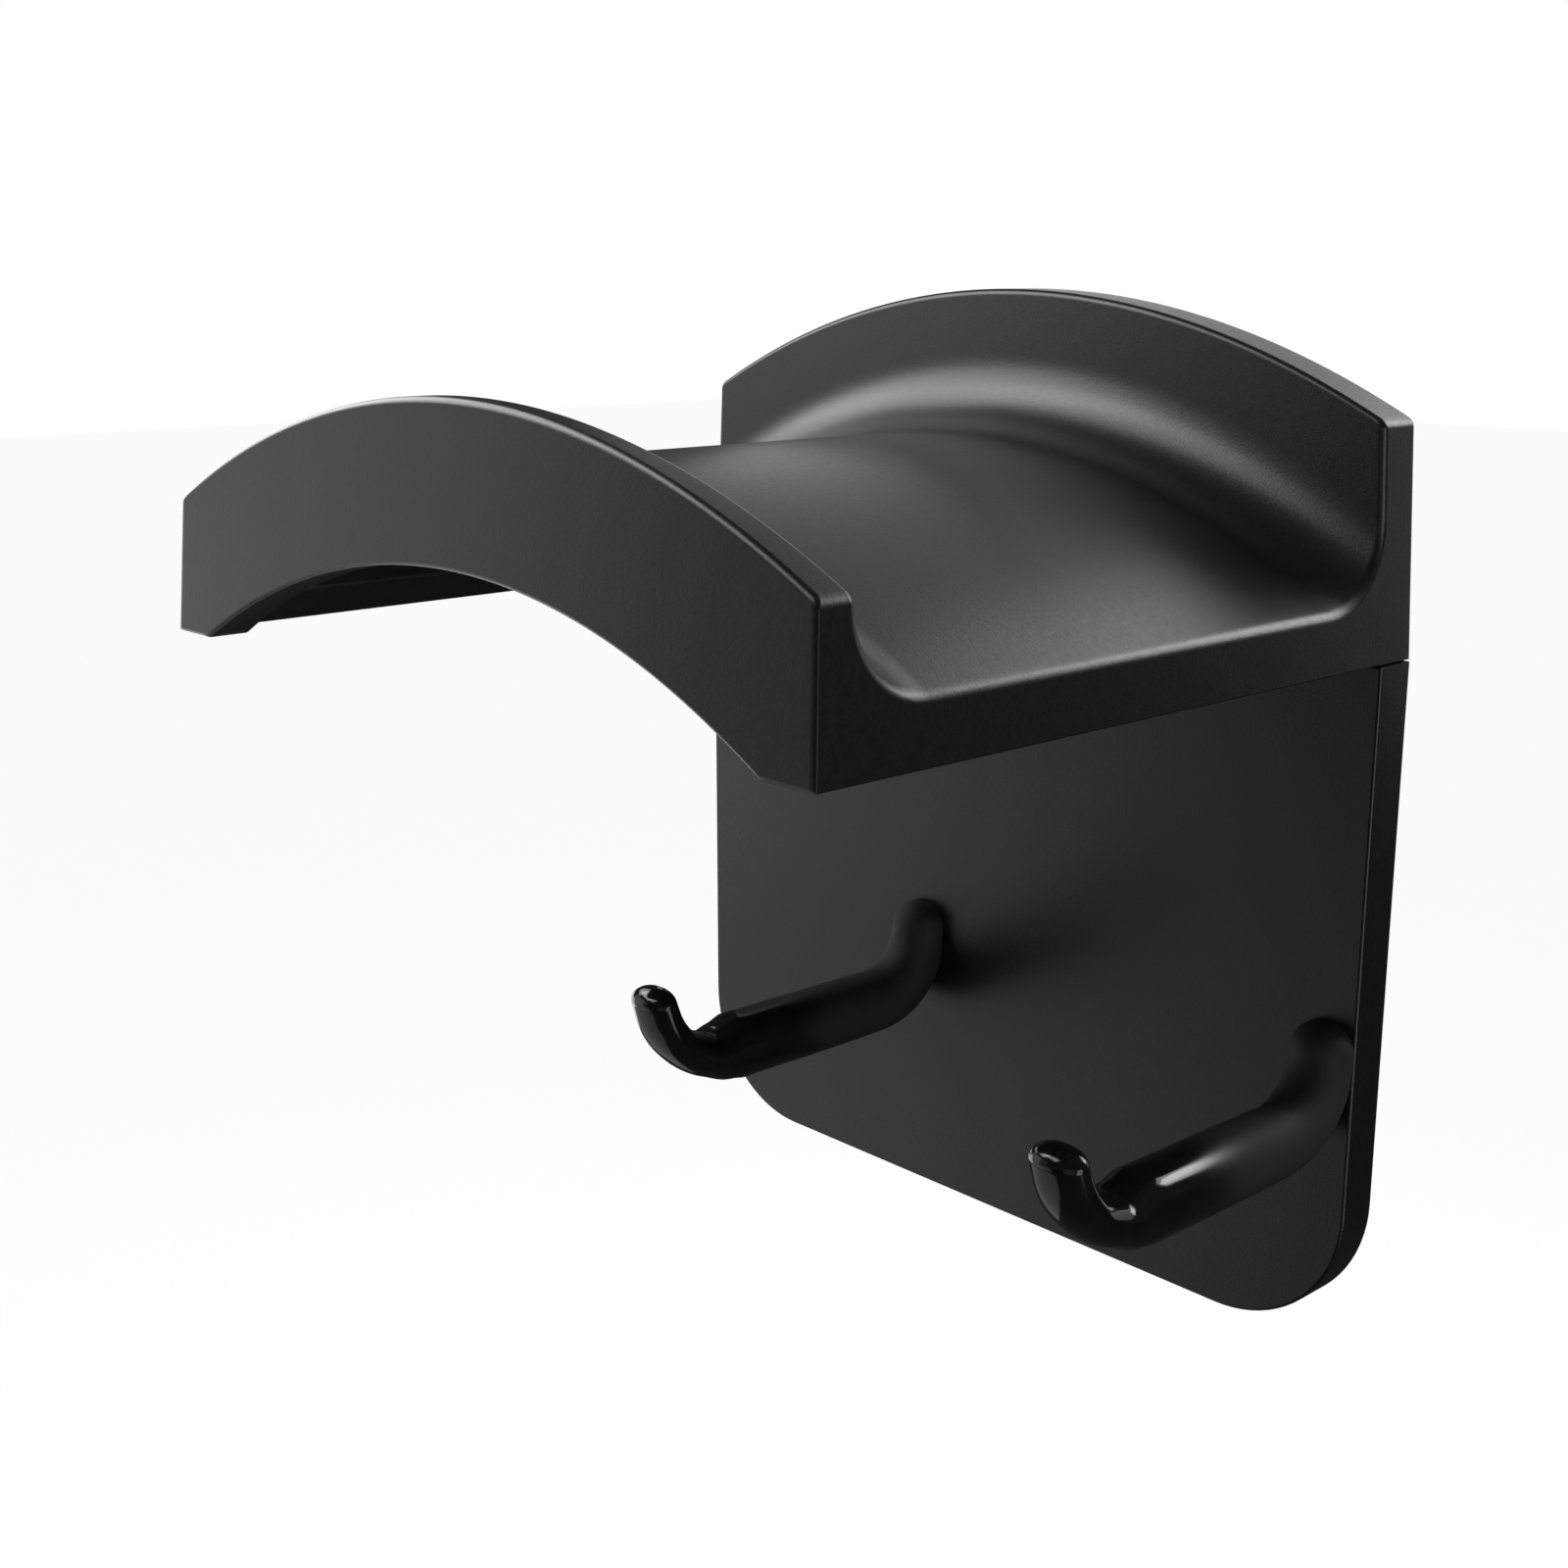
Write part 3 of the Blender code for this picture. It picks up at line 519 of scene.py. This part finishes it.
# Hooks

def hook_path(arc_steps=22, run_steps=18):
    shank_start = HOOK_ROOT_Y - HOOK_ROOT_BEND
    points = []
    for i in range(arc_steps + 1):
        turn = math.pi / 2 * i / arc_steps
        points.append((shank_start + HOOK_ROOT_BEND * math.cos(turn),
                       HOOK_SHANK_Z + HOOK_ROOT_BEND * (1 - math.sin(turn))))
    for i in range(1, run_steps):
        points.append((shank_start + (HOOK_SHANK_END_Y - shank_start) * i / run_steps,
                       HOOK_SHANK_Z))
    for i in range(arc_steps + 1):
        turn = HOOK_TIP_TURN * i / arc_steps
        points.append((HOOK_SHANK_END_Y - HOOK_TIP_BEND * math.sin(turn),
                       HOOK_SHANK_Z + HOOK_TIP_BEND * (1 - math.cos(turn))))
    y, z = points[-1]
    points.append((y - HOOK_TIP_RUN * math.cos(HOOK_TIP_TURN),
                   z + HOOK_TIP_RUN * math.sin(HOOK_TIP_TURN)))
    return [Vector((0, y, z)) for y, z in points]


def section_at(share):
    for (start, *low), (end, *high) in zip(HOOK_SECTIONS, HOOK_SECTIONS[1:]):
        if share <= end:
            part = (share - start) / (end - start)
            part = part * part * (3 - 2 * part)
            return [a + (b - a) * part for a, b in zip(low, high)]
    return HOOK_SECTIONS[-1][1:]


def signed_power(value, power):
    return math.copysign(abs(value) ** power, value)


def make_hook(word, around=56, dome_steps=10):
    path = hook_path()
    lengths = [0.0]
    for before, after in zip(path, path[1:]):
        lengths.append(lengths[-1] + (after - before).length)
    rings = []

    def add_ring(centre, along, sizes, scale=1.0):
        half_width, above, below = (size * scale for size in sizes[:3])
        power = 2 / sizes[3]
        across = Vector((1, 0, 0)).cross(along)
        if across.z < 0:
            across = -across
        ring = []
        for k in range(around):
            turn = 2 * math.pi * k / around
            side = signed_power(math.cos(turn), power) * half_width
            rise = signed_power(math.sin(turn), power)
            rise *= above if rise > 0 else below
            ring.append(centre + Vector((HOOK_X[word] + side, 0, 0)) + across * rise)
        rings.append(ring)

    for i, centre in enumerate(path):
        along = (path[min(i + 1, len(path) - 1)] - path[max(i - 1, 0)]).normalized()
        sizes = section_at(lengths[i] / lengths[-1])
        half_thickness = (sizes[1] + sizes[2]) / 2
        if i == 0:
            for step in range(dome_steps, 0, -1):
                turn = math.pi / 2 * step / (dome_steps + DOME_OPENING)
                add_ring(centre - along * DOME_SHARE * half_thickness * math.sin(turn), along, sizes,
                         math.cos(turn))
        add_ring(centre, along, sizes)
        if i == len(path) - 1:
            for step in range(1, dome_steps + 1):
                turn = math.pi / 2 * step / (dome_steps + DOME_OPENING)
                add_ring(centre + along * DOME_SHARE * half_thickness * math.sin(turn), along, sizes,
                         math.cos(turn))
    bm = loft(rings, merge=1e-7)
    cut = bmesh.ops.bisect_plane(bm, geom=bm.verts[:] + bm.edges[:] + bm.faces[:],
                                 plane_co=(0, HOOK_FOOT_Y, 0), plane_no=(0, 1, 0),
                                 clear_outer=True, dist=1e-7)
    rim = [item for item in cut["geom_cut"] if isinstance(item, bmesh.types.BMEdge)]
    bmesh.ops.contextual_create(bm, geom=rim)
    hook = add_piece(f"hook_{word}_gloss", bm, f"hook_{word}")
    low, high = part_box(f"hook_screw_{word}")
    combine(hook, "DIFFERENCE", [rod_bm(HOOK_BORE, low.y - GAP, FLANGE_FRONT_Y + MM, HOOK_X[word],
                                        (low.z + high.z) / 2)])
    finish_shading(hook, 60)


# Fasteners, hanging plates, pad and bumpers

def make_screw(node, shank_radius, head_height):
    """A pan-headed screw with a cross recess, its head toward the wall."""
    low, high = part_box(node)
    radius, bearing = (high.x - low.x) / 2, high.y - head_height
    length = bearing - low.y
    axis = Vector(((low.x + high.x) / 2, bearing, (low.z + high.z) / 2))
    profile = [(AXIS, head_height)]
    for i in range(9):
        turn = math.pi / 2 * i / 8
        profile.append((radius * (0.45 + 0.55 * math.sin(turn)),
                        head_height * (0.4 + 0.6 * math.cos(turn))))
    profile += [(radius, head_height * 0.1), (radius * 0.97, 0), (shank_radius, 0)]
    threads = int(length * THREADED_SHARE / THREAD_PITCH)
    for i in range(threads):
        depth = -length * 0.05 - i * THREAD_PITCH
        profile += [(shank_radius, depth), (shank_radius - THREAD_DEPTH, depth - THREAD_PITCH / 2)]
    profile += [(shank_radius * 0.4, -length), (AXIS, -length)]
    screw = add_piece(f"{node}_turned", turned_bm(profile, axis), node)
    recess = []
    for across in (False, True):
        rings = []
        for reach, (long, wide) in ((0.1 * MM, RECESS_TOP),
                                    (-RECESS_SHARE * head_height, RECESS_FLOOR)):
            corners = ((-long, -wide), (long, -wide), (long, wide), (-long, wide))
            rings.append([(axis.x + radius * (b if across else a), high.y + reach,
                           axis.z + radius * (a if across else b)) for a, b in corners])
        recess.append(loft(rings))
    combine(screw, "DIFFERENCE", recess)
    finish_shading(screw, 35)


def make_washer(node):
    low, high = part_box(node)
    outer, thickness = (high.x - low.x) / 2, high.y - low.y
    profile = rounded([(radius, reach, WASHER_EDGE, WASHER_EDGE, 3) for radius, reach in (
        (outer, 0), (outer, thickness), (HOOK_BORE, thickness), (HOOK_BORE, 0))])
    place = Vector(((low.x + high.x) / 2, low.y, (low.z + high.z) / 2))
    washer = add_piece(f"{node}_pressed", turned_bm(profile, place, closed=True), node)
    finish_shading(washer, 35)


def slab_rings(low, high, corner, edge, steps=8):
    """Rings of a slab that lies along the wall, with rounded corners and softened edges."""
    rings = []
    for y, inset in ((low.y, edge), (low.y + edge * 0.3, edge * 0.3), (low.y + edge, 0),
                     (high.y - edge, 0), (high.y - edge * 0.3, edge * 0.3), (high.y, edge)):
        ring = []
        for i, (x, z) in enumerate(((high.x, high.z), (low.x, high.z), (low.x, low.z),
                                    (high.x, low.z))):
            centre_x = x - math.copysign(corner, x - (low.x + high.x) / 2)
            centre_z = z - math.copysign(corner, z - (low.z + high.z) / 2)
            for step in range(steps + 1):
                turn = math.pi / 2 * (i + step / steps)
                ring.append((centre_x + (corner - inset) * math.cos(turn), y,
                             centre_z + (corner - inset) * math.sin(turn)))
        rings.append(ring)
    return rings


def make_hanger_bar():
    low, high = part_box("hanger_bar")
    bar = add_piece("hanger_bar_pressed", loft(slab_rings(low, high, BAR_CORNER, PRESSED_EDGE)),
                    "hanger_bar")
    holes = []
    for word in ("left", "right"):
        screw_low, screw_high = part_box(f"hanger_screw_{word}")
        holes.append(rod_bm(HANGER_SCREW_HOLE, low.y - MM, 0, (screw_low.x + screw_high.x) / 2,
                            (screw_low.z + screw_high.z) / 2))
    combine(bar, "DIFFERENCE", holes)
    finish_shading(bar, 35)


def make_wall_bracket():
    """A pressed plate whose top edge is bent out over a shelf and up into a tongue."""
    low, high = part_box("wall_bracket")
    base_low = Vector((low.x, BRACKET_BASE_FRONT_Y, low.z))
    base_high = Vector((high.x, high.y, BRACKET_BASE_TOP_Z))
    base = loft(slab_rings(base_low, base_high, BRACKET_CORNER, PRESSED_EDGE))
    bracket = add_piece("bracket_pressed", base, "wall_bracket")
    rim = PRESSED_EDGE
    back, front = low.y + STEEL, base_low.y
    shelf_top, shelf_low = base_high.z, base_high.z - STEEL
    rings = []
    for side in (-1, 1):
        for i in range(9)[::side]:  # the rings run from one end of the tongue to the other
            turn = math.pi / 2 * i / 8
            x = side * (BRACKET_TONGUE_HALF_WIDTH - TONGUE_CORNER * (1 - math.sin(turn)))
            top = high.z - TONGUE_CORNER * (1 - math.cos(turn))
            rings.append([(x, y, z) for y, z in rounded([
                (base_high.y - JOIN_INSET, shelf_top - TONGUE_OVERLAP, 0, 0, 0),
                (base_high.y - JOIN_INSET, shelf_top, OUTER_BEND, OUTER_BEND, 6),
                (back, shelf_top, INNER_BEND, INNER_BEND, 4), (back, top, rim, rim, 2),
                (low.y, top, rim, rim, 2), (low.y, shelf_low, OUTER_BEND, OUTER_BEND, 6),
                (front + JOIN_INSET, shelf_low, INNER_BEND, INNER_BEND, 4),
                (front + JOIN_INSET, shelf_top - TONGUE_OVERLAP, 0, 0, 0)])])
    combine(bracket, "UNION", [loft(rings)])
    holes = []
    for x in (-WALL_HOLE_X, WALL_HOLE_X):
        sink = [(WALL_HOLE_RADIUS, STEEL + MM), (WALL_HOLE_RADIUS, 0.5 * STEEL),
                (COUNTERSINK_RADIUS, -0.4 * MM)]
        holes.append(turned_bm(sink, Vector((x, base_low.y, 0))))
    combine(bracket, "DIFFERENCE", holes)
    finish_shading(bracket, 35)


def make_adhesive_pad():
    low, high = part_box("adhesive_pad")
    pad = add_piece("adhesive_pad_foam", loft(slab_rings(low, high, PAD_CORNER, PAD_EDGE)),
                    "adhesive_pad")
    combine(pad, "DIFFERENCE", [rod_bm(PAD_HOLE_RADIUS, low.y - MM, MM, x, 0)
                                for x in (-WALL_HOLE_X, WALL_HOLE_X)])
    finish_shading(pad, 35)


def make_bumper(node):
    """A moulded rubber foot with a rounded rim and a shallow dish in the face on the wall."""
    low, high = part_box(node)
    radius, length = (high.x - low.x) / 2, high.y - low.y
    profile = [(AXIS, 0), (radius * 0.94, 0), (radius, BUMPER_FRONT_EDGE),
               (radius, length - BUMPER_ROUNDING)]
    for i in range(1, 9):
        turn = math.pi / 2 * i / 8
        profile.append((radius - BUMPER_ROUNDING * (1 - math.cos(turn)),
                        length - BUMPER_ROUNDING * (1 - math.sin(turn))))
    profile += [(radius * 0.55, length), (radius * 0.45, length - BUMPER_DISH[0]),
                (AXIS, length - BUMPER_DISH[1])]
    place = Vector(((low.x + high.x) / 2, low.y, (low.z + high.z) / 2))
    finish_shading(add_piece(f"{node}_rubber", turned_bm(profile, place), node), 35)


# Materials

def new_material(name, colour, roughness, metallic=0.0):
    material = bpy.data.materials.new(name)
    material.use_nodes = True
    shader = material.node_tree.nodes["Principled BSDF"]
    shader.inputs["Base Color"].default_value = (*colour, 1)
    shader.inputs["Roughness"].default_value = roughness
    shader.inputs["Metallic"].default_value = metallic
    return material, shader


def noise(material, scale, detail=3.0, stretch=(1, 1, 1)):
    """A noise texture in the part's own coordinates, in features per metre."""
    nodes, links = material.node_tree.nodes, material.node_tree.links
    place = nodes.new("ShaderNodeTexCoord")
    mapping = nodes.new("ShaderNodeMapping")
    mapping.inputs["Scale"].default_value = stretch
    texture = nodes.new("ShaderNodeTexNoise")
    texture.inputs["Scale"].default_value = scale
    texture.inputs["Detail"].default_value = detail
    links.new(place.outputs["Object"], mapping.inputs["Vector"])
    links.new(mapping.outputs["Vector"], texture.inputs["Vector"])
    return texture.outputs["Fac"]


def spread(material, source, low, high, start=0.3, end=0.7):
    """The source's range from start to end, mapped to low to high."""
    ranged = material.node_tree.nodes.new("ShaderNodeMapRange")
    for name, value in (("From Min", start), ("From Max", end), ("To Min", low), ("To Max", high)):
        ranged.inputs[name].default_value = value
    material.node_tree.links.new(source, ranged.inputs["Value"])
    return ranged.outputs["Result"]


def along_y(material, start, first, end, last):
    """A value that eases from first to last between two places along the part's own Y."""
    nodes, links = material.node_tree.nodes, material.node_tree.links
    place = nodes.new("ShaderNodeTexCoord")
    split = nodes.new("ShaderNodeSeparateXYZ")
    ranged = nodes.new("ShaderNodeMapRange")
    ranged.interpolation_type = "SMOOTHSTEP"
    for name, value in (("From Min", start), ("From Max", end), ("To Min", first),
                        ("To Max", last)):
        ranged.inputs[name].default_value = value
    links.new(place.outputs["Object"], split.inputs["Vector"])
    links.new(split.outputs["Y"], ranged.inputs["Value"])
    return ranged.outputs["Result"]


def vary_colour(material, shader, source, low, high):
    ramp = material.node_tree.nodes.new("ShaderNodeValToRGB")
    ramp.color_ramp.elements[0].position, ramp.color_ramp.elements[1].position = 0.35, 0.65
    ramp.color_ramp.elements[0].color = (*low, 1)
    ramp.color_ramp.elements[1].color = (*high, 1)
    material.node_tree.links.new(source, ramp.inputs["Fac"])
    material.node_tree.links.new(ramp.outputs["Color"], shader.inputs["Base Color"])


def add_bump(material, shader, source, depth, strength=1.0):
    bump = material.node_tree.nodes.new("ShaderNodeBump")
    bump.inputs["Strength"].default_value = strength
    bump.inputs["Distance"].default_value = depth
    material.node_tree.links.new(source, bump.inputs["Height"])
    material.node_tree.links.new(bump.outputs["Normal"], shader.inputs["Normal"])


def make_materials():
    made = {}
    moulded, shader = new_material("moulded_matte_black", (0.02, 0.02, 0.02), 0.46)
    grain = noise(moulded, 2600, 2.0)
    vary_colour(moulded, shader, grain, (0.0072, 0.0072, 0.0074), (0.0112, 0.0112, 0.0114))
    links = moulded.node_tree.links
    links.new(spread(moulded, noise(moulded, 1400, 3.0), 0.31, 0.36), shader.inputs["Roughness"])
    add_bump(moulded, shader, grain, 0.03 * MM, 0.5)
    made["moulded_body"] = moulded

    gloss, shader = new_material("gloss_black", (0.011, 0.011, 0.011), 0.2)
    vary_colour(gloss, shader, noise(gloss, 300), (0.0075, 0.0075, 0.0075),
                (0.0105, 0.0105, 0.0105))
    gloss.node_tree.links.new(along_y(gloss, -42 * MM, 0.11, -26 * MM, 0.72),
                              shader.inputs["Roughness"])
    made["gloss_hooks"] = gloss

    steel, shader = new_material("zinc_plated_steel", (0.62, 0.62, 0.6), 0.34, 1.0)
    vary_colour(steel, shader, noise(steel, 260), (0.52, 0.53, 0.53), (0.68, 0.68, 0.65))
    steel.node_tree.links.new(spread(steel, noise(steel, 900, 4.0, (0.15, 1, 1)), 0.27, 0.42),
                              shader.inputs["Roughness"])
    add_bump(steel, shader, noise(steel, 1600, 3.0, (0.1, 1, 1)), 0.01 * MM, 0.4)
    made["plated_steel"] = steel

    foam, shader = new_material("closed_cell_foam", (0.78, 0.78, 0.76), 0.9)
    vary_colour(foam, shader, noise(foam, 1500), (0.68, 0.68, 0.66), (0.82, 0.82, 0.8))
    add_bump(foam, shader, noise(foam, 2200, 4.0), 0.12 * MM, 0.8)
    made["foam"] = foam

    rubber, shader = new_material("black_rubber", (0.03, 0.03, 0.03), 0.8)
    vary_colour(rubber, shader, noise(rubber, 900), (0.022, 0.022, 0.022), (0.036, 0.036, 0.036))
    add_bump(rubber, shader, noise(rubber, 1800), 0.05 * MM, 0.5)
    made["rubber"] = rubber
    return made


# Stage

def add_light(name, place, aim, width, height, watts):
    """A softbox that faces the aim. The camera doesn't see it, so it never hides the object."""
    data = bpy.data.lights.new(name, "AREA")
    data.energy = watts
    data.shape = "RECTANGLE"
    data.size = width
    data.size_y = height
    light = bpy.data.objects.new(name, data)
    light.location = place
    light.rotation_euler = (aim - place).to_track_quat("-Z", "Y").to_euler()
    light.visible_camera = False
    bpy.context.scene.collection.objects.link(light)


def add_lights():
    for name, around, up, width, height, watts in PANELS:
        around, up = math.radians(around), math.radians(up)
        outward = Vector((math.cos(around) * math.cos(up), math.sin(around) * math.cos(up),
                          math.sin(up)))
        add_light(name, STUDIO_MIDDLE + outward * PANEL_DISTANCE, STUDIO_MIDDLE, width, height,
                  watts)
    for near_light in NEAR_LIGHTS:
        add_light(*near_light)


def mix_for_camera(tree, lit, seen, output):
    """Shows one shader to the camera, and lets the other light the object."""
    rays = tree.nodes.new("ShaderNodeLightPath")
    mix = tree.nodes.new("ShaderNodeMixShader")
    tree.links.new(rays.outputs["Is Camera Ray"], mix.inputs["Fac"])
    tree.links.new(lit, mix.inputs[1])
    tree.links.new(seen, mix.inputs[2])
    tree.links.new(mix.outputs["Shader"], output)


def make_world():
    world = bpy.data.worlds.new("studio")
    world.use_nodes = True
    bpy.context.scene.world = world
    tree = world.node_tree
    dim = tree.nodes["Background"]
    dim.inputs["Strength"].default_value = WORLD_LIGHT
    pale = tree.nodes.new("ShaderNodeBackground")
    for background in (dim, pale):
        background.inputs["Color"].default_value = (1, 1, 1, 1)
    pale.inputs["Strength"].default_value = WORLD_SEEN
    mix_for_camera(tree, dim.outputs["Background"], pale.outputs["Background"],
                   tree.nodes["World Output"].inputs["Surface"])


def make_floor():
    bm = bmesh.new()
    bmesh.ops.create_grid(bm, x_segments=8, y_segments=8, size=FLOOR_REACH)
    mesh = bpy.data.meshes.new("floor")
    bm.to_mesh(mesh)
    bm.free()
    floor = bpy.data.objects.new("floor", mesh)
    floor.location.z = cad_bounds[0][2] - FLOOR_DROP
    bpy.context.scene.collection.objects.link(floor)
    material, shader = new_material("pale_floor", (0.08, 0.08, 0.08), 0.9)
    shader.inputs["Emission Color"].default_value = (1, 1, 1, 1)
    shader.inputs["Emission Strength"].default_value = FLOOR_SEEN
    tree = material.node_tree
    dim = tree.nodes.new("ShaderNodeBsdfDiffuse")
    dim.inputs["Color"].default_value = (0.05, 0.05, 0.05, 1)
    mix_for_camera(tree, dim.outputs["BSDF"], shader.outputs["BSDF"],
                   tree.nodes["Material Output"].inputs["Surface"])
    mesh.materials.append(material)


def make_stage():
    make_floor()
    make_world()
    bpy.context.scene.view_settings.view_transform = "Standard"
    add_lights()


def make_camera():
    data = bpy.data.cameras.new("camera")
    data.lens = LENS
    data.sensor_width = SENSOR_WIDTH
    data.clip_start = CLIP_START
    camera = bpy.data.objects.new("camera", data)
    camera.location = CAMERA_PLACE
    camera.rotation_euler = CAMERA_TURN
    bpy.context.scene.collection.objects.link(camera)
    bpy.context.scene.camera = camera


materials = make_materials()
make_camera()
make_stage()
make_saddle()
make_plate()
for word in HOOK_X:
    make_hook(word)
    make_washer(f"hook_washer_{word}")
for node in slots:
    for prefix, sizes in SCREWS.items():
        if node.startswith(prefix):
            make_screw(node, *sizes)
    if node.startswith("bumper_"):
        make_bumper(node)
make_hanger_bar()
make_wall_bracket()
make_adhesive_pad()
